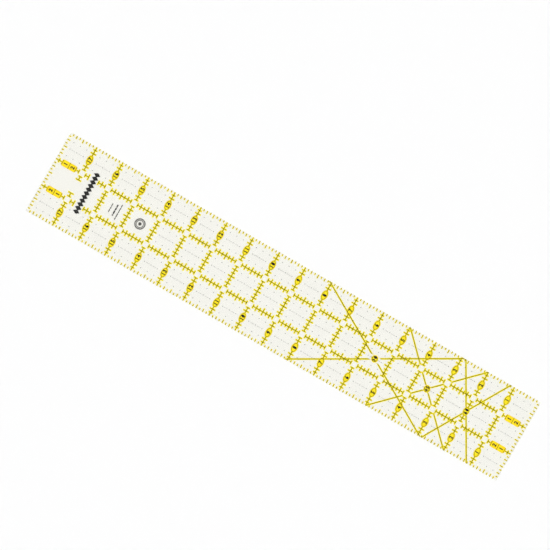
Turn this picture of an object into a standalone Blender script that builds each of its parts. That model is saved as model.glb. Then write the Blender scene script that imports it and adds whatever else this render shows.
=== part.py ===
"""An 18 in by 3 in quilting ruler: a clear acrylic plate with its scale printed on the underside.

Lengths are metres and +Z is up. The origin is the middle of the underside, +X runs along the ruler towards
the end where the numbers start, and +Y points to its far edge. Places on the scale are in inches, as on the
ruler itself: a column counts from the left end, and a row from the near edge.

Three thin passes of ink lie under the plate. The dark lines are against the acrylic, the yellow labels are
under them, and the pale highlight that follows every line is lowest: the ruler rests on it.
"""

import math

import bpy
from mathutils import Matrix, Vector

INCH = 0.0254
LENGTH_IN = 18
WIDTH_IN = 3
PLATE_THICKNESS = 0.003
ARRIS = 0.00015

INK_THICKNESS = 0.00005
INK_GAP = 0.00002
INK_PASS = INK_THICKNESS + INK_GAP
HIGHLIGHT_Z = 0.0
LABEL_Z = HIGHLIGHT_Z + INK_PASS
LINE_Z = LABEL_Z + INK_PASS
PLATE_Z = LINE_Z + INK_PASS

# The print, in inches.
PRINT_INSET = 0.01
LINE_WIDTH = 0.014
HIGHLIGHT_WIDTH = 0.16
EDGE_HIGHLIGHT_WIDTH = 0.12
ANGLE_HIGHLIGHT_WIDTH = 0.06
NUMBER_OVAL = (0.225, 0.375)
NUMBER_INSET = 0.5
END_LABEL = (0.57, 0.225)
END_LABEL_CORNER = 0.07
END_LABEL_INSET = 0.5
ORNAMENT_COLUMNS = (1.34, 1.58)
ORNAMENT_ROWS = (0.73, 2.27)
ORNAMENT_NECK = 0.04
ORNAMENT_DIAMONDS = 11
BLANK_COLUMNS = (1.27, 1.6)
BLANK_ROWS = (1.27, 1.73)
STAMP_PLACE = (3.5, 1.5)
STAMP_RADII = (0.187, 0.16)
STAR_RADII = (0.075, 0.04)
STAR_POINTS = 8
ROUND_SIDES = 32
CORNER_STEPS = 6

# The angle lines cross in pairs on the middle of the ruler: degrees, column, and the size of the label there.
ANGLE_PAIRS = (
    (30, 12.5, (0.24, 0.26)),
    (45, 14.5, (0.24, 0.27)),
    (60, 16.0, (0.225, 0.35)),
)

# Colour, roughness and opacity of each material.
FINISHES = {
    "clear_acrylic": ((0.93, 0.94, 0.94), 0.04, 0.25),
    "highlight_ink": ((0.98, 0.93, 0.32), 0.45, 1.0),
    "label_ink": ((0.97, 0.78, 0.04), 0.45, 1.0),
    "line_ink": ((0.03, 0.03, 0.02), 0.45, 1.0),
    "ornament_ink": ((0.02, 0.02, 0.02), 0.45, 1.0),
    "stamp_ink": ((0.35, 0.35, 0.34), 0.45, 1.0),
}


def clear_scene():
    for obj in list(bpy.data.objects):
        bpy.data.objects.remove(obj, do_unlink=True)


def new_collection(name):
    collection = bpy.data.collections.new(name)
    bpy.context.scene.collection.children.link(collection)
    return collection


def move_to(obj, collection):
    for old in list(obj.users_collection):
        old.objects.unlink(obj)
    collection.objects.link(obj)


def make_material(name):
    colour, roughness, opacity = FINISHES[name]
    material = bpy.data.materials.new(name)
    material.use_nodes = True
    shader = material.node_tree.nodes["Principled BSDF"]
    shader.inputs["Base Color"].default_value = (*colour, 1.0)
    shader.inputs["Roughness"].default_value = roughness
    shader.inputs["Metallic"].default_value = 0.0
    shader.inputs["Alpha"].default_value = opacity
    return material


def place(column, row, height):
    """The point at a height over a place on the scale."""
    x = (column - LENGTH_IN / 2) * INCH
    y = (row - WIDTH_IN / 2) * INCH
    return Vector((x, y, height))


def add_box(name, size, centre, turn=0.0):
    """A box of the given size, turned about +Z."""
    bpy.ops.mesh.primitive_cube_add(size=1.0, location=centre, rotation=(0.0, 0.0, turn))
    box = bpy.context.object
    box.name = name
    box.data.transform(Matrix.Diagonal((*size, 1.0)))
    return box


def add_strip(name, start, end, width, height):
    """A strip of ink between two places on the scale, with its underside at a height."""
    middle_height = height + INK_THICKNESS / 2
    first = place(*start, middle_height)
    run = place(*end, middle_height) - first
    size = (run.length, width * INCH, INK_THICKNESS)
    return add_box(name, size, first + run / 2, math.atan2(run.y, run.x))


def angle_run(degrees, column, width):
    """Both ends of an angle line that is this wide, so that its corners stay inside the print."""
    slope = math.radians(degrees)
    reach = WIDTH_IN / 2 - PRINT_INSET - abs(math.cos(slope)) * width / 2
    along = reach / math.tan(slope)
    middle = WIDTH_IN / 2
    return (column - along, middle - reach), (column + along, middle + reach)


def angle_runs(width):
    runs = []
    for degrees, column, _ in ANGLE_PAIRS:
        runs.append(angle_run(degrees, column, width))
        runs.append(angle_run(-degrees, column, width))
    return runs


def grid_runs():
    """The inch lines, in three groups that don't meet: two left of the ornament, and the rest."""
    low, high = PRINT_INSET, WIDTH_IN - PRINT_INSET
    blank_left, blank_right = BLANK_COLUMNS
    blank_near, blank_far = BLANK_ROWS
    near_left = [((low, 1), (blank_left, 1)), ((1, low), (1, blank_near))]
    far_left = [((low, 2), (blank_left, 2)), ((1, blank_far), (1, high))]
    main = [((blank_right, row), (LENGTH_IN - PRINT_INSET, row)) for row in range(1, WIDTH_IN)]
    main += [((column, low), (column, high)) for column in range(2, LENGTH_IN)]
    return near_left, far_left, main


def edge_runs():
    """The four runs of highlight behind the scales along the edges."""
    low = PRINT_INSET + EDGE_HIGHLIGHT_WIDTH / 2
    right = LENGTH_IN - low
    far = WIDTH_IN - low
    start, stop = PRINT_INSET, LENGTH_IN - PRINT_INSET
    bottom, top = PRINT_INSET, WIDTH_IN - PRINT_INSET
    return [
        ((start, low), (stop, low)),
        ((start, far), (stop, far)),
        ((low, bottom), (low, top)),
        ((right, bottom), (right, top)),
    ]


def join_strips(name, strips, parts, cutters):
    """One film of ink: the first strip, with the others joined to it."""
    film, *others = strips
    film.name = name
    move_to(film, parts)
    joined = bpy.data.collections.new(name + "_strips")
    cutters.children.link(joined)
    for strip in others:
        strip.hide_render = True
        strip.display_type = "WIRE"
        move_to(strip, joined)
    union = film.modifiers.new("Join strips", "BOOLEAN")
    union.operation = "UNION"
    union.operand_type = "COLLECTION"
    union.collection = joined
    union.solver = "EXACT"
    return film


def make_strips(name, runs, width, height):
    return [add_strip(f"{name}_strip_{i:02d}", *run, width, height) for i, run in enumerate(runs)]


def make_plate(parts, material):
    size = (LENGTH_IN * INCH, WIDTH_IN * INCH, PLATE_THICKNESS)
    plate = add_box("acrylic_plate", size, (0.0, 0.0, PLATE_Z + PLATE_THICKNESS / 2))
    bevel = plate.modifiers.new("Arris", "BEVEL")
    bevel.width = ARRIS
    bevel.segments = 2
    plate.data.materials.append(material)
    move_to(plate, parts)


def make_highlight(parts, cutters, material):
    """The pale ink behind the grid, the angle lines and the four edge scales."""
    grid = [run for group in grid_runs() for run in group]
    strips = make_strips("edge_highlight", edge_runs(), EDGE_HIGHLIGHT_WIDTH, HIGHLIGHT_Z)
    strips += make_strips("grid_highlight", grid, HIGHLIGHT_WIDTH, HIGHLIGHT_Z)
    angles = angle_runs(ANGLE_HIGHLIGHT_WIDTH)
    strips += make_strips("angle_highlight", angles, ANGLE_HIGHLIGHT_WIDTH, HIGHLIGHT_Z)
    film = join_strips("highlight_print", strips, parts, cutters)
    film.data.materials.append(material)


def make_lines(parts, cutters, material):
    """The dark grid and angle lines."""
    near_left, far_left, main = grid_runs()
    groups = {
        "line_print_near_left": near_left,
        "line_print_far_left": far_left,
        "line_print": main + angle_runs(LINE_WIDTH),
    }
    for name, runs in groups.items():
        strips = make_strips(name, runs, LINE_WIDTH, LINE_Z)
        film = join_strips(name, strips, parts, cutters)
        film.data.materials.append(material)


def make_oval(name, size, column, row, parts, material):
    """A printed oval of this size in inches, along the length and across it."""
    centre = place(column, row, LABEL_Z + INK_THICKNESS / 2)
    bpy.ops.mesh.primitive_cylinder_add(vertices=ROUND_SIDES, radius=0.5, depth=1.0, location=centre)
    oval = bpy.context.object
    oval.name = name
    oval.data.transform(Matrix.Diagonal((size[0] * INCH, size[1] * INCH, INK_THICKNESS, 1.0)))
    oval.data.materials.append(material)
    move_to(oval, parts)


def make_number_labels(parts, material):
    """An oval for each number, in a row along each long edge. The numbers run from the right end."""
    rows = {"near": NUMBER_INSET, "far": WIDTH_IN - NUMBER_INSET}
    for side, row in rows.items():
        for number in range(1, LENGTH_IN):
            name = f"number_label_{side}_{number:02d}"
            make_oval(name, NUMBER_OVAL, LENGTH_IN - number, row, parts, material)


def make_flat_shape(name, loops, height, parts, material):
    """A film of ink inside closed outlines of places on the scale. A second outline is a hole."""
    curve = bpy.data.curves.new(name, "CURVE")
    curve.dimensions = "2D"
    curve.fill_mode = "BOTH"
    curve.extrude = INK_THICKNESS / 2
    for loop in loops:
        spline = curve.splines.new("POLY")
        spline.points.add(len(loop) - 1)
        spline.use_cyclic_u = True
        for point, (column, row) in zip(spline.points, loop):
            corner = place(column, row, 0.0)
            point.co = (corner.x, corner.y, 0.0, 1.0)
    curve.materials.append(material)
    shape = bpy.data.objects.new(name, curve)
    shape.location.z = height + INK_THICKNESS / 2
    parts.objects.link(shape)


def rounded_outline(centre, size, corner):
    """An upright rectangle of this size about a place, with round corners of this radius."""
    outline = []
    for quarter, (right, up) in enumerate(((1, 1), (-1, 1), (-1, -1), (1, -1))):
        column = centre[0] + right * (size[0] / 2 - corner)
        row = centre[1] + up * (size[1] / 2 - corner)
        for step in range(CORNER_STEPS + 1):
            turn = math.pi / 2 * (quarter + step / CORNER_STEPS)
            outline.append((column + corner * math.cos(turn), row + corner * math.sin(turn)))
    return outline


def make_end_labels(parts, material):
    """The long patches on the two lengthwise lines, one at each end of each line."""
    columns = {"left": END_LABEL_INSET, "right": LENGTH_IN - END_LABEL_INSET}
    rows = {"near": 1, "far": 2}
    for end, column in columns.items():
        for side, row in rows.items():
            patch = rounded_outline((column, row), END_LABEL, END_LABEL_CORNER)
            make_flat_shape(f"end_label_{end}_{side}", [patch], LABEL_Z, parts, material)


def make_angle_labels(parts, material):
    for degrees, column, size in ANGLE_PAIRS:
        make_oval(f"angle_label_{degrees}", size, column, WIDTH_IN / 2, parts, material)


def diamond_chain_outline():
    """A row of diamonds joined tip to tip by short necks, with a point at both ends."""
    left, right = ORNAMENT_COLUMNS
    low, high = ORNAMENT_ROWS
    middle = (left + right) / 2
    pitch = (high - low) / ORNAMENT_DIAMONDS
    right_side = []
    for diamond in range(ORNAMENT_DIAMONDS):
        base = low + diamond * pitch
        if diamond:
            right_side.append((middle + ORNAMENT_NECK / 2, base))
        right_side.append((right, base + pitch / 2))
    left_side = [(2 * middle - column, row) for column, row in reversed(right_side)]
    return [(middle, low), *right_side, (middle, high), *left_side]


def circle_outline(centre, radius):
    turns = [2 * math.pi * i / ROUND_SIDES for i in range(ROUND_SIDES)]
    return [(centre[0] + radius * math.cos(a), centre[1] + radius * math.sin(a)) for a in turns]


def make_ornament(parts, material):
    make_flat_shape("ornament_band", [diamond_chain_outline()], LINE_Z, parts, material)


def star_outline(centre, radii, points):
    corners = 2 * points
    outline = []
    for i in range(corners):
        turn = math.pi * i / points
        radius = radii[i % 2]
        outline.append((centre[0] + radius * math.cos(turn), centre[1] + radius * math.sin(turn)))
    return outline


def make_stamp(parts, material):
    rims = [circle_outline(STAMP_PLACE, radius) for radius in STAMP_RADII]
    make_flat_shape("stamp_ring", rims, LINE_Z, parts, material)
    star = star_outline(STAMP_PLACE, STAR_RADII, STAR_POINTS)
    make_flat_shape("stamp_star", [star], LINE_Z, parts, material)


def hang_on_empty(name, parts):
    """One empty that carries every part, so that the ruler moves as a whole."""
    empty = bpy.data.objects.new(name, None)
    for obj in list(parts.objects):
        obj.parent = empty
    parts.objects.link(empty)


def main():
    clear_scene()
    parts = new_collection("quilting_ruler")
    cutters = new_collection("cutters")
    materials = {name: make_material(name) for name in FINISHES}
    make_plate(parts, materials["clear_acrylic"])
    make_highlight(parts, cutters, materials["highlight_ink"])
    make_number_labels(parts, materials["label_ink"])
    make_end_labels(parts, materials["label_ink"])
    make_angle_labels(parts, materials["label_ink"])
    make_lines(parts, cutters, materials["line_ink"])
    make_ornament(parts, materials["ornament_ink"])
    make_stamp(parts, materials["stamp_ink"])
    hang_on_empty("quilting_ruler_frame", parts)


main()
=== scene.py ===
"""The looks of an 18 in by 3 in quilting ruler, on a plain white table in soft studio light.

The CAD model gives the clear plate, the yellow labels, the ornament and the stamp, which keep their shapes
and get their finishes here. Its plain films of line and highlight ink are replaced by the real print:
hairlines with ticks at every eighth of an inch, broken at the crossings, with a yellow outline round all of
it. The numerals, the small grey print and the frosting of the sawn edges are added.

Places on the ruler's own scale are in inches. A column counts from the left end, and a row from the near
edge.
"""

import itertools
import math

import bmesh
import bpy
from mathutils import Matrix, Vector
from mathutils.geometry import delaunay_2d_cdt


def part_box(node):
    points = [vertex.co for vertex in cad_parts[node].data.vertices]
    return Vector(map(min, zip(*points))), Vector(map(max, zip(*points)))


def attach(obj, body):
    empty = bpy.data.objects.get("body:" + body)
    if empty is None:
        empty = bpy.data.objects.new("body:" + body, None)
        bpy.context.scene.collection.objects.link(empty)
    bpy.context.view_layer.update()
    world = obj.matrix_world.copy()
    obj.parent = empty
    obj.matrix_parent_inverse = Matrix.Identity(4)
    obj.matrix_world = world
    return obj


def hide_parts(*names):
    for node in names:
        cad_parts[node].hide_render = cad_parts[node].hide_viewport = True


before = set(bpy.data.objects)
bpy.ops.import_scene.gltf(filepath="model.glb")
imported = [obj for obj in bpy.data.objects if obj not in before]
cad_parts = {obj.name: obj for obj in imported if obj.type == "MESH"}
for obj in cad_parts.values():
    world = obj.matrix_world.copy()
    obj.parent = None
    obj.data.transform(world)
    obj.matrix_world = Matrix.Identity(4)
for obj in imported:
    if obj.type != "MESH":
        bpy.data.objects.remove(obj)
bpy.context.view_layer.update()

COLUMNS, ROWS = 18, 3
plate_low, plate_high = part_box("acrylic_plate")
INCH = (plate_high.x - plate_low.x) / COLUMNS

# The heights between which two of the passes of ink lie, under the plate.
HIGHLIGHT_FILM = [corner.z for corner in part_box("highlight_print")]
LINE_FILM = [corner.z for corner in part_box("line_print")]

# The print, in inches: half the width of a hairline, and the yellow outline on each side of it.
PRINT_INSET = 0.006
LINE_HALF = 0.007
OUTLINE = 0.0255
EDGE_LINE_HALF = 0.0062
EDGE_OUTLINE = 0.0185

# How far the ticks reach from their line, and from the edge of the ruler, at every eighth of an inch.
TICK_REACH = {1: 0.05, 2: 0.081, 3: 0.05, 4: 0.108, 5: 0.05, 6: 0.081, 7: 0.05}
EDGE_TICK_LENGTH = {1: 0.06, 2: 0.09, 3: 0.06, 4: 0.115, 5: 0.06, 6: 0.09, 7: 0.06}

# The printed runs of one inch of a line, which is broken at the crossings and behind the labels, and is
# mostly blank round the ornament.
WHOLE_SEGMENT = [(1 / 8, 7 / 8)]
NEAR_NUMBER_SEGMENT = [(0, 0.33), (0.67, 7 / 8)]
FAR_NUMBER_SEGMENT = [(1 / 8, 0.33), (0.67, 1)]
LEFT_END_SEGMENT = [(0, 0.21), (0.79, 7 / 8)]
RIGHT_END_SEGMENT = [(1 / 8, 0.21), (0.79, 1)]
DEGREE_SEGMENT = [(1 / 8, 0.33), (0.67, 7 / 8)]
BLANK_COLUMN_SEGMENT = [(1 / 8, 1 / 4), (3 / 4, 7 / 8)]
BLANK_ROW_SEGMENT = [(1 / 8, 1 / 4), (5 / 8, 7 / 8)]
BLANK_COLUMN = 1
END_LABEL_EIGHTHS = (2, 4, 6)

# delaunay_2d_cdt's output type that keeps what its faces cover, how near two corners have to be to merge, and
# the angle between triangles that are joined into one flat face.
COVERED = 1
MERGE_DISTANCE = 1e-6
FLAT_ANGLE = math.radians(1)

# The column where the lines of each angle cross. Only the 45 degree lines meet crossings of the grid. This is
# how far they stop from them, and how much of a label's reach every angle line leaves blank.
ANGLE_CROSSINGS = {30: 12.5, 45: 14.5, 60: 16}
CROSSING_GAP = 0.1
ANGLE_LABEL_BLANK = 0.7

# The oval line inside the rim of a label.
RING_INSET = 0.036
RING_HALF = 0.0055
RING_SIDES = 40

# Numerals: their heights, the steps between digits, and how much bolder they are than the font.
NUMERAL_HEIGHT = 0.13
NUMERAL_PITCH = 0.105
END_NUMERAL_HEIGHT = 0.14
DEGREE_HEIGHT = 0.12
DEGREE_PITCH = 0.105
END_NUMERAL_STEP = 0.13
BOLDNESS = 0.04

# The grey crosses and dashes in the cells. The first cells of the middle row are blank.
QUARTERS = (1 / 4, 2 / 4, 3 / 4)
BLANK_ROW = 1
BLANK_CELLS = 4
MARK_ARM = 0.015
MARK_HALF = 0.0044
MARK_DASH_HALF = 0.07
MARK_DASH_WIDTH = 0.0045

# The small print's lines: the column, the row where it starts, half its width, and the lengths of its dashes.
CAPTION_LINES = (
    (2.39, 1.33, 0.013, (0.1, 0.06, 0.12)),
    (2.56, 1.28, 0.022, (0.05, 0.12, 0.09, 0.1)),
    (2.69, 1.2, 0.014, (0.08, 0.14, 0.06, 0.11, 0.1)),
)
CAPTION_SPACE = 0.018

STAMP_INNER_RADIUS = 0.12
STAMP_LINE_HALF = 0.008
STAMP_DASHES = 18
STAMP_DASH_REACH = (0.135, 0.155)
STAMP_DASH_HALF = 0.011

# The inks. The labels' yellows run from where the ink is thin to where it is thick.
BLACK = (0.012, 0.012, 0.01)
ORNAMENT_BLACK = (0.02, 0.02, 0.02)
MARK_GREY = (0.05, 0.05, 0.05)
STAMP_GREY = (0.1, 0.1, 0.1)
HIGHLIGHT_YELLOW = (0.96, 0.82, 0.022)
END_LABEL_YELLOWS = ((0.97, 0.76, 0.012), (0.98, 0.71, 0.006))
NUMBER_LABEL_YELLOWS = ((0.94, 0.79, 0.012), (0.95, 0.74, 0.006))
INK_ROUGHNESS = 0.5
INK_GLOSS = 0.12
INK_GRAIN = 4000.0
INK_GRAIN_HEIGHT = 0.00001
INK_MOTTLE = 260.0
MOTTLE_STOPS = (0.35, 0.65)

# The plate: its tint for what is seen through it, its tint for light that passes through, and its finish.
ACRYLIC_COLOUR = (0.995, 0.99, 0.945)
ACRYLIC_LIGHT_TINT = (0.998, 0.997, 0.985)
ACRYLIC_IOR = 1.49
POLISHED_ROUGHNESS = 0.012
SMEARED_ROUGHNESS = 0.045
SAWN_ROUGHNESS = 0.25
FLAT_FACE_NORMAL = 0.9
SMEAR_SCALE = 45.0
SMEAR_RANGE = (0.35, 0.75)
SCRATCH_SCALE = 900.0
SCRATCH_DEPTH = 0.000004

# The frosting of the sawn sides is a thin frame just inside them, clear of their top and bottom corners.
FROST_INSET = 0.00003
FROST_THICKNESS = 0.00005
FROST_MARGIN = 0.0002
FROST_COLOUR = (0.8, 0.82, 0.78)
FROST_ROUGHNESS = 0.6
FROST_GLOSS = 0.3
SAW_MARK_SCALE = 1200.0
SAW_MARK_DEPTH = 0.00003

# The studio: a white table just under the ruler, four lamps round it, and a sky that is brightest low down.
TABLE_SIZE = 5.0
TABLE_DROP = 0.00003
TABLE_COLOUR = (0.86, 0.86, 0.86)
TABLE_ROUGHNESS = 0.9
TABLE_GRAIN = 300.0
TABLE_GRAIN_HEIGHT = 0.00002
SOFTBOX_SIZE = 1.6
SOFTBOX_DISTANCE = 2.0
SOFTBOX_HEIGHT = 2.0
SOFTBOX_POWER = 22.1
SKY_HEIGHTS = (0.35, 0.9)
SKY_STRENGTHS = (0.9, 0.12)

# The picture: the ruler's middle lies to the right of its middle and below it.
PICTURE_WIDTH = 0.4646
PICTURE_TURN = math.radians(29.88)
MIDDLE_RIGHT = 0.0071
MIDDLE_BELOW = 0.0265
LENS = 100.0
SENSOR = 36.0


def place(column, row, height=0.0):
    """The point at a height over a place on the scale."""
    return Vector((plate_low.x + column * INCH, plate_low.y + row * INCH, height))


# ---------------------------------------------------------------- print shapes


def inside_print(column, row):
    """The place, or the nearest one to it inside the margin of the print."""
    column = min(max(column, PRINT_INSET), COLUMNS - PRINT_INSET)
    row = min(max(row, PRINT_INSET), ROWS - PRINT_INSET)
    return column, row


def bar(stroke, half):
    """The outline of a straight stroke along the scale, this far round its middle line."""
    (c0, r0), (c1, r1) = stroke
    low = inside_print(min(c0, c1) - half, min(r0, r1) - half)
    high = inside_print(max(c0, c1) + half, max(r0, r1) + half)
    return [low, (high[0], low[1]), high, (low[0], high[1])]


def ticked(runs):
    """A segment's runs, each with the ticks that stand on it as (eighth, reach)."""
    for start, stop in runs:
        eighths = [e for e in TICK_REACH if start <= e / 8 <= stop]
        yield start, stop, [(e / 8, TICK_REACH[e]) for e in eighths]


def column_strokes(column, row, runs):
    """The hairline and ticks of one inch of a line across the ruler."""
    strokes = []
    for start, stop, ticks in ticked(runs):
        strokes.append(((column, row + start), (column, row + stop)))
        strokes += [((column - reach, row + at), (column + reach, row + at)) for at, reach in ticks]
    return strokes


def row_strokes(row, column, runs):
    """The hairline and ticks of one inch of a line along the ruler."""
    strokes = []
    for start, stop, ticks in ticked(runs):
        strokes.append(((column + start, row), (column + stop, row)))
        strokes += [((column + at, row - reach), (column + at, row + reach)) for at, reach in ticks]
    return strokes


def grid_strokes():
    """The inch lines of the grid with their ticks."""
    strokes = []
    for column in range(1, COLUMNS):
        special = {BLANK_COLUMN: BLANK_COLUMN_SEGMENT, ANGLE_CROSSINGS[60]: DEGREE_SEGMENT}
        middle = special.get(column, WHOLE_SEGMENT)
        for row, runs in enumerate((NEAR_NUMBER_SEGMENT, middle, FAR_NUMBER_SEGMENT)):
            strokes += column_strokes(column, row, runs)
    special = {0: LEFT_END_SEGMENT, BLANK_COLUMN: BLANK_ROW_SEGMENT, COLUMNS - 1: RIGHT_END_SEGMENT}
    for row in range(1, ROWS):
        for column in range(COLUMNS):
            strokes += row_strokes(row, column, special.get(column, WHOLE_SEGMENT))
    return strokes


def end_label_strokes():
    """The ticks that cross the labels at both ends."""
    strokes = []
    for row in range(1, ROWS):
        for column in (0, COLUMNS - 1):
            for eighth in END_LABEL_EIGHTHS:
                at, reach = column + eighth / 8, TICK_REACH[eighth]
                strokes.append(((at, row - reach), (at, row + reach)))
    return strokes


def edge_strokes():
    """The ticks of the scales along all four edges."""
    strokes = []
    for eighth, length in EDGE_TICK_LENGTH.items():
        for inch in range(COLUMNS):
            column = inch + eighth / 8
            strokes.append(((column, 0), (column, length)))
            strokes.append(((column, ROWS - length), (column, ROWS)))
        for inch in range(ROWS):
            row = inch + eighth / 8
            strokes.append(((0, row), (length, row)))
            strokes.append(((COLUMNS - length, row), (COLUMNS, row)))
    return strokes


def angle_outlines(grow):
    """Both arms of each pair of angle lines, cut where its label and the crossings of the grid are."""
    outlines = []
    middle = ROWS / 2
    for degrees, crossing in ANGLE_CROSSINGS.items():
        slope = math.tan(math.radians(degrees))
        half = (LINE_HALF + grow) / math.sin(math.radians(degrees))
        label_low, label_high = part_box(f"angle_label_{degrees}")
        label = (label_high.y - label_low.y) / INCH / 2 * ANGLE_LABEL_BLANK
        stops = [PRINT_INSET, middle - label]
        if degrees == 45:
            gap = CROSSING_GAP - grow / 2
            stops = [PRINT_INSET, 1 - gap, 1 + gap, middle - label]
        for low, high in zip(stops[::2], stops[1::2]):
            for side in (-1, 1):
                near = [(crossing + side * (middle - row) / slope, row) for row in (low, high)]
                far = [(column, ROWS - row) for column, row in near]
                for (c0, r0), (c1, r1) in (near, far):
                    outline = [(c0 - half, r0), (c0 + half, r0), (c1 + half, r1), (c1 - half, r1)]
                    outlines.append(outline if r1 > r0 else outline[::-1])
    return outlines


def scale_place(point):
    """Where a point of the model is on the scale."""
    return (point.x - plate_low.x) / INCH, (point.y - plate_low.y) / INCH


def ring_outlines():
    """The thin oval line inside the rim of every number label and angle label, as short pieces."""
    outlines = []
    turns = [2 * math.pi * i / RING_SIDES for i in range(RING_SIDES + 1)]
    labels = [f"angle_label_{degrees}" for degrees in ANGLE_CROSSINGS]
    for side in ("near", "far"):
        labels += [f"number_label_{side}_{number:02d}" for number in range(1, COLUMNS)]
    for label in labels:
        low, high = (scale_place(corner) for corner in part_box(label))
        middle = [(a + b) / 2 for a, b in zip(low, high)]
        radii = [(b - a) / 2 - RING_INSET for a, b in zip(low, high)]
        inner, outer = (
            [
                (middle[0] + (radii[0] + grow) * math.cos(a), middle[1] + (radii[1] + grow) * math.sin(a))
                for a in turns
            ]
            for grow in (-RING_HALF, RING_HALF)
        )
        for i in range(RING_SIDES):
            outlines.append([inner[i], outer[i], outer[i + 1], inner[i + 1]])
    return outlines


def film(name, outlines, heights):
    """A thin closed body of ink: the union of flat outlines on the scale, between two heights."""
    points, faces = [], []
    for outline in outlines:
        faces.append(list(range(len(points), len(points) + len(outline))))
        points += [Vector(corner) for corner in outline]
    corners, _, triangles, _, _, sources = delaunay_2d_cdt(points, [], faces, COVERED, MERGE_DISTANCE)
    low, high = heights
    shape = bmesh.new()
    verts = [shape.verts.new(place(corner.x, corner.y, low)) for corner in corners]
    for triangle, source in zip(triangles, sources):
        if source:
            shape.faces.new([verts[i] for i in triangle])
    bmesh.ops.delete(shape, geom=[v for v in shape.verts if not v.link_faces], context="VERTS")
    bmesh.ops.dissolve_limit(shape, angle_limit=FLAT_ANGLE, verts=shape.verts, edges=shape.edges)
    raised = bmesh.ops.extrude_face_region(shape, geom=shape.faces[:], use_keep_orig=True)
    for vert in [v for v in raised["geom"] if isinstance(v, bmesh.types.BMVert)]:
        vert.co.z = high
    return finished(shape, name)


def finished(shape, name):
    """The object made from a closed bmesh."""
    bmesh.ops.recalc_face_normals(shape, faces=shape.faces)
    mesh = bpy.data.meshes.new(name)
    shape.to_mesh(mesh)
    shape.free()
    obj = bpy.data.objects.new(name, mesh)
    bpy.context.scene.collection.objects.link(obj)
    return obj


def edge_frost(name):
    """A thin closed frame just inside the plate's four sides."""
    shape = bmesh.new()
    loops = []
    bottom, top = plate_low.z + FROST_MARGIN, plate_high.z - FROST_MARGIN
    outer, inner = FROST_INSET, FROST_INSET + FROST_THICKNESS
    for inset, height in ((outer, bottom), (outer, top), (inner, top), (inner, bottom)):
        left, right = plate_low.x + inset, plate_high.x - inset
        near, far = plate_low.y + inset, plate_high.y - inset
        corners = ((left, near), (right, near), (right, far), (left, far))
        loops.append([shape.verts.new((*corner, height)) for corner in corners])
    for i in range(4):
        one, other = loops[i], loops[(i + 1) % 4]
        for j in range(4):
            k = (j + 1) % 4
            shape.faces.new((one[j], one[k], other[k], other[j]))
    return finished(shape, name)


# ---------------------------------------------------------------- numerals


def spelled(text, centre, height, pitch):
    """The characters of a number as (character, centre, height), in a row from the near edge upwards."""
    first = centre - Vector((0, (len(text) - 1) / 2 * pitch * INCH, 0))
    return [(character, first + Vector((0, i * pitch * INCH, 0)), height) for i, character in enumerate(text)]


def label_middle(name):
    """The middle of a CAD node's box."""
    low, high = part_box(name)
    return (low + high) / 2


def numerals():
    """Every character on the labels, as (character, centre, height)."""
    characters = []
    for number in range(1, COLUMNS):
        for side in ("near", "far"):
            middle = label_middle(f"number_label_{side}_{number:02d}")
            characters += spelled(str(number), middle, NUMERAL_HEIGHT, NUMERAL_PITCH)
    for degrees in ANGLE_CROSSINGS:
        middle = label_middle(f"angle_label_{degrees}")
        characters += spelled(str(degrees), middle, DEGREE_HEIGHT, DEGREE_PITCH)
    for end in ("left", "right"):
        for side, pair in (("far", "12"), ("near", "21")):
            for step, text in zip((-END_NUMERAL_STEP, END_NUMERAL_STEP), pair):
                middle = label_middle(f"end_label_{end}_{side}") + Vector((step * INCH, 0, 0))
                characters.append((text, middle, END_NUMERAL_HEIGHT))
    return characters


def glyph_mesh(character):
    """The flat mesh of one character in the font's own size."""
    curve = bpy.data.curves.new("glyph", "FONT")
    curve.body = character
    curve.resolution_u = 4
    curve.offset = BOLDNESS
    holder = bpy.data.objects.new("glyph", curve)
    bpy.context.scene.collection.objects.link(holder)
    mesh = bpy.data.meshes.new_from_object(holder.evaluated_get(bpy.context.evaluated_depsgraph_get()))
    bpy.data.objects.remove(holder)
    bpy.data.curves.remove(curve)
    return mesh


def middle_of(values):
    return (min(values) + max(values)) / 2


def numeral_outlines():
    """The flat faces of all the numerals, as outlines on the scale."""
    zero = glyph_mesh("0")
    rows = [v.co.y for v in zero.vertices]
    digit_height, digit_middle = max(rows) - min(rows), middle_of(rows)
    outlines = []
    for character, centre, height in numerals():
        mesh = glyph_mesh(character)
        glyph_middle = Vector((middle_of([v.co.x for v in mesh.vertices]), digit_middle, 0))
        mesh.transform(
            Matrix.Translation((centre.x, centre.y, 0))
            @ Matrix.Rotation(math.pi / 2, 4, "Z")
            @ Matrix.Scale(height * INCH / digit_height, 4)
            @ Matrix.Translation(-glyph_middle)
        )
        for face in mesh.polygons:
            outlines.append([scale_place(mesh.vertices[i].co) for i in face.vertices])
        bpy.data.meshes.remove(mesh)
    return outlines


# ---------------------------------------------------------------- small grey print


def box_outline(column, row, half_length, half_width):
    """The outline of a rectangle about a place on the scale."""
    return [
        (column - half_length, row - half_width),
        (column + half_length, row - half_width),
        (column + half_length, row + half_width),
        (column - half_length, row + half_width),
    ]


def quarter_marks():
    """A small cross at every quarter inch inside the cells, with dashes between them along each half inch."""
    outlines = []
    for column in range(COLUMNS):
        for row in range(ROWS):
            if row == BLANK_ROW and column < BLANK_CELLS:
                continue
            for right, up in itertools.product(QUARTERS, QUARTERS):
                outlines.append(box_outline(column + right, row + up, MARK_ARM, MARK_HALF))
                outlines.append(box_outline(column + right, row + up, MARK_HALF, MARK_ARM))
            for right in (3 / 8, 5 / 8):
                outlines.append(box_outline(column + right, row + 1 / 2, MARK_DASH_HALF, MARK_DASH_WIDTH / 2))
    return outlines


def caption_outlines():
    """Plain dashes where the small print is."""
    outlines = []
    for column, row, half, dashes in CAPTION_LINES:
        for dash in dashes:
            outlines.append(box_outline(column, row + dash / 2, half, dash / 2))
            row += dash + CAPTION_SPACE
    return outlines


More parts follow.
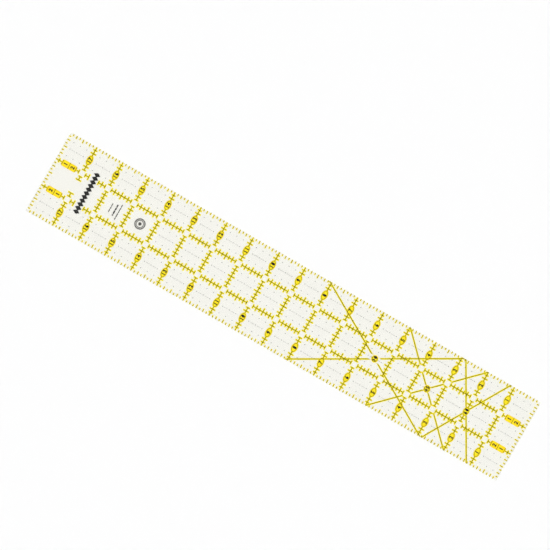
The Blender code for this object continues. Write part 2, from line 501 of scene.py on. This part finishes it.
def stamp_outlines():
    """The inner circle of the stamp, and a wheel of dashes round it in place of its wording."""
    centre = scale_place(label_middle("stamp_ring"))
    outlines = []

    def spot(radius, turn):
        return centre[0] + radius * math.cos(turn), centre[1] + radius * math.sin(turn)

    turns = [2 * math.pi * i / RING_SIDES for i in range(RING_SIDES + 1)]
    inner, outer = STAMP_INNER_RADIUS - STAMP_LINE_HALF, STAMP_INNER_RADIUS + STAMP_LINE_HALF
    for start, stop in zip(turns, turns[1:]):
        outlines.append([spot(inner, start), spot(outer, start), spot(outer, stop), spot(inner, stop)])
    inner, outer = STAMP_DASH_REACH
    for dash in range(STAMP_DASHES):
        turn = 2 * math.pi * dash / STAMP_DASHES
        half = STAMP_DASH_HALF / outer
        corners = ((inner, turn - half), (outer, turn - half), (outer, turn + half), (inner, turn + half))
        outlines.append([spot(*corner) for corner in corners])
    return outlines


# ---------------------------------------------------------------- materials


def start_material(name, colour, roughness, gloss=0.5):
    """A node material with a Principled shader: the material, its node tree and the shader."""
    material = bpy.data.materials.new(name)
    material.use_nodes = True
    tree = material.node_tree
    shader = tree.nodes["Principled BSDF"]
    shader.inputs["Base Color"].default_value = (*colour, 1.0)
    shader.inputs["Roughness"].default_value = roughness
    shader.inputs["Specular IOR Level"].default_value = gloss
    return material, tree, shader


def noise(tree, scale, detail=3.0):
    """A noise texture in metres of the object's own space."""
    coordinates = tree.nodes.new("ShaderNodeTexCoord")
    texture = tree.nodes.new("ShaderNodeTexNoise")
    texture.inputs["Scale"].default_value = scale
    texture.inputs["Detail"].default_value = detail
    tree.links.new(coordinates.outputs["Object"], texture.inputs["Vector"])
    return texture


def add_bump(tree, shader, texture, height):
    """Makes a shader's surface stand up by this much where a texture is bright."""
    bump = tree.nodes.new("ShaderNodeBump")
    bump.inputs["Distance"].default_value = height
    bump.inputs["Strength"].default_value = 1.0
    tree.links.new(texture.outputs["Fac"], bump.inputs["Height"])
    tree.links.new(bump.outputs["Normal"], shader.inputs["Normal"])


def ramp(tree, texture, stops):
    """A colour ramp on a texture's factor, with (place, colour) stops."""
    node = tree.nodes.new("ShaderNodeValToRGB")
    for element, (at, colour) in zip(node.color_ramp.elements, stops):
        element.position = at
        element.color = (*colour, 1.0)
    tree.links.new(texture.outputs["Fac"], node.inputs["Fac"])
    return node


def plain_ink(name, colour):
    """Screen ink of one colour, with a fine grain."""
    material, tree, shader = start_material(name, colour, INK_ROUGHNESS, INK_GLOSS)
    add_bump(tree, shader, noise(tree, INK_GRAIN), INK_GRAIN_HEIGHT)
    return material


def mottled_ink(name, thin, thick):
    """Screen ink that is a little thinner in places."""
    material = plain_ink(name, thick)
    tree = material.node_tree
    colours = ramp(tree, noise(tree, INK_MOTTLE), zip(MOTTLE_STOPS, (thin, thick)))
    tree.links.new(colours.outputs["Color"], tree.nodes["Principled BSDF"].inputs["Base Color"])
    return material


def let_light_through(tree, shader, tint):
    """Lets lamps and the light off other surfaces pass straight through a surface, with a tint."""
    clear = tree.nodes.new("ShaderNodeBsdfTransparent")
    clear.inputs["Color"].default_value = (*tint, 1.0)
    path = tree.nodes.new("ShaderNodeLightPath")
    seen = shader.outputs["BSDF"]
    for ray in ("Is Shadow Ray", "Is Diffuse Ray"):
        mix = tree.nodes.new("ShaderNodeMixShader")
        tree.links.new(path.outputs[ray], mix.inputs["Fac"])
        tree.links.new(seen, mix.inputs[1])
        tree.links.new(clear.outputs["BSDF"], mix.inputs[2])
        seen = mix.outputs["Shader"]
    tree.links.new(seen, tree.nodes["Material Output"].inputs["Surface"])


def acrylic(name):
    """Clear sheet: polished faces with faint smears and fine scratches, and rougher sawn edges."""
    material, tree, shader = start_material(name, ACRYLIC_COLOUR, POLISHED_ROUGHNESS)
    shader.inputs["IOR"].default_value = ACRYLIC_IOR
    shader.inputs["Transmission Weight"].default_value = 1.0
    geometry = tree.nodes.new("ShaderNodeNewGeometry")
    direction = tree.nodes.new("ShaderNodeSeparateXYZ")
    upright = tree.nodes.new("ShaderNodeMath")
    upright.operation = "ABSOLUTE"
    on_edge = tree.nodes.new("ShaderNodeMath")
    on_edge.operation = "LESS_THAN"
    on_edge.inputs[1].default_value = FLAT_FACE_NORMAL
    smears = tree.nodes.new("ShaderNodeMapRange")
    smears.inputs["From Min"].default_value, smears.inputs["From Max"].default_value = SMEAR_RANGE
    smears.inputs["To Min"].default_value = POLISHED_ROUGHNESS
    smears.inputs["To Max"].default_value = SMEARED_ROUGHNESS
    roughness = tree.nodes.new("ShaderNodeMath")
    roughness.operation = "MULTIPLY_ADD"
    roughness.inputs[1].default_value = SAWN_ROUGHNESS
    tree.links.new(geometry.outputs["Normal"], direction.inputs["Vector"])
    tree.links.new(direction.outputs["Z"], upright.inputs[0])
    tree.links.new(upright.outputs["Value"], on_edge.inputs[0])
    tree.links.new(noise(tree, SMEAR_SCALE, 4.0).outputs["Fac"], smears.inputs["Value"])
    tree.links.new(on_edge.outputs["Value"], roughness.inputs[0])
    tree.links.new(smears.outputs["Result"], roughness.inputs[2])
    tree.links.new(roughness.outputs["Value"], shader.inputs["Roughness"])
    add_bump(tree, shader, noise(tree, SCRATCH_SCALE, 6.0), SCRATCH_DEPTH)
    let_light_through(tree, shader, ACRYLIC_LIGHT_TINT)
    return material


def frosted(name):
    """The pale, scratched surface that sawing leaves on acrylic."""
    material, tree, shader = start_material(name, FROST_COLOUR, FROST_ROUGHNESS, FROST_GLOSS)
    add_bump(tree, shader, noise(tree, SAW_MARK_SCALE, 6.0), SAW_MARK_DEPTH)
    let_light_through(tree, shader, (1.0, 1.0, 1.0))
    return material


def dress(obj, material):
    """Gives all of an object the one material."""
    obj.data.materials.clear()
    obj.data.materials.append(material)


# ---------------------------------------------------------------- the ruler


def printed(piece, material):
    """Finishes a new piece with one material, and makes it stay with the ruler."""
    dress(piece, material)
    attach(piece, "root")


def make_print():
    """The pieces that this script adds to the CAD model, or puts in place of its plain films."""
    black = plain_ink("black_ink", BLACK)
    grey = plain_ink("grey_ink", MARK_GREY)
    highlight = plain_ink("highlight_ink", HIGHLIGHT_YELLOW)
    grid, edges = grid_strokes(), edge_strokes()
    lines = [bar(stroke, LINE_HALF) for stroke in grid + end_label_strokes()]
    lines += angle_outlines(0.0) + ring_outlines()
    lines += [bar(stroke, EDGE_LINE_HALF) for stroke in edges]
    line_piece = film("line_film", lines, LINE_FILM)
    printed(line_piece, black)
    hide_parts("line_print", "line_print_far_left", "line_print_near_left")
    borders = [bar(stroke, LINE_HALF + OUTLINE) for stroke in grid] + angle_outlines(OUTLINE)
    borders += [bar(stroke, EDGE_LINE_HALF + EDGE_OUTLINE) for stroke in edges]
    highlight_piece = film("highlight_film", borders, HIGHLIGHT_FILM)
    printed(highlight_piece, highlight)
    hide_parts("highlight_print")
    printed(film("number_film", numeral_outlines(), LINE_FILM), black)
    printed(film("quarter_mark_film", quarter_marks(), LINE_FILM), grey)
    printed(film("caption_film", caption_outlines(), LINE_FILM), grey)
    printed(film("stamp_film", stamp_outlines(), LINE_FILM), grey)
    printed(edge_frost("edge_frost"), frosted("frosted_acrylic"))


def finish_cad_nodes():
    """The finishes of the CAD nodes that stay."""
    end_label = mottled_ink("label_ink", *END_LABEL_YELLOWS)
    number_label = mottled_ink("number_label_ink", *NUMBER_LABEL_YELLOWS)
    stamp = plain_ink("stamp_ink", STAMP_GREY)
    ornament = plain_ink("ornament_ink", ORNAMENT_BLACK)
    clear = acrylic("clear_acrylic")
    for name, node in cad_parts.items():
        if name.startswith(("number_label_", "angle_label_")):
            dress(node, number_label)
        elif name.startswith("end_label_"):
            dress(node, end_label)
        elif name.startswith("stamp_"):
            dress(node, stamp)
        elif name == "ornament_band":
            dress(node, ornament)
        elif name == "acrylic_plate":
            dress(node, clear)


# ---------------------------------------------------------------- the studio


def make_floor():
    """A plain white table top."""
    bpy.ops.mesh.primitive_plane_add(size=TABLE_SIZE, location=(0.0, 0.0, -TABLE_DROP))
    floor = bpy.context.object
    floor.name = "table_top"
    material, tree, shader = start_material("white_table", TABLE_COLOUR, TABLE_ROUGHNESS)
    add_bump(tree, shader, noise(tree, TABLE_GRAIN), TABLE_GRAIN_HEIGHT)
    dress(floor, material)


def add_softbox(name, side):
    """A large square lamp, to this side of the ruler and above it, that faces it."""
    lamp = bpy.data.lights.new(name, "AREA")
    lamp.shape = "SQUARE"
    lamp.size = SOFTBOX_SIZE
    lamp.energy = SOFTBOX_POWER
    obj = bpy.data.objects.new(name, lamp)
    obj.location = (side[0] * SOFTBOX_DISTANCE, side[1] * SOFTBOX_DISTANCE, SOFTBOX_HEIGHT)
    obj.rotation_euler = (-Vector(obj.location)).to_track_quat("-Z", "Y").to_euler()
    bpy.context.scene.collection.objects.link(obj)


def make_lights():
    """A sky that is bright low down and dark overhead, and a softbox on each side."""
    world = bpy.data.worlds.new("studio")
    world.use_nodes = True
    tree = world.node_tree
    sky = tree.nodes.new("ShaderNodeTexCoord")
    height = tree.nodes.new("ShaderNodeSeparateXYZ")
    shade = tree.nodes.new("ShaderNodeMapRange")
    shade.interpolation_type = "SMOOTHSTEP"
    shade.inputs["From Min"].default_value, shade.inputs["From Max"].default_value = SKY_HEIGHTS
    shade.inputs["To Min"].default_value, shade.inputs["To Max"].default_value = SKY_STRENGTHS
    tree.links.new(sky.outputs["Generated"], height.inputs["Vector"])
    tree.links.new(height.outputs["Z"], shade.inputs["Value"])
    tree.links.new(shade.outputs["Result"], tree.nodes["Background"].inputs["Strength"])
    tree.nodes["Background"].inputs["Color"].default_value = (1.0, 1.0, 1.0, 1.0)
    bpy.context.scene.world = world
    for name, side in (("left", (-1, 0)), ("right", (1, 0)), ("front", (0, -1)), ("back", (0, 1))):
        add_softbox(f"softbox_{name}", side)
    bpy.context.scene.view_settings.view_transform = "Standard"


def make_camera():
    """Straight above, turned so that the ruler slopes down to the right."""
    camera_data = bpy.data.cameras.new("camera")
    camera_data.lens = LENS
    camera_data.sensor_width = SENSOR
    camera = bpy.data.objects.new("camera", camera_data)
    turn = Matrix.Rotation(PICTURE_TURN, 4, "Z")
    height = PICTURE_WIDTH * LENS / SENSOR
    camera.matrix_world = turn @ Matrix.Translation((-MIDDLE_RIGHT, MIDDLE_BELOW, height))
    bpy.context.scene.collection.objects.link(camera)
    bpy.context.scene.camera = camera


make_camera()
make_print()
finish_cad_nodes()
make_floor()
make_lights()
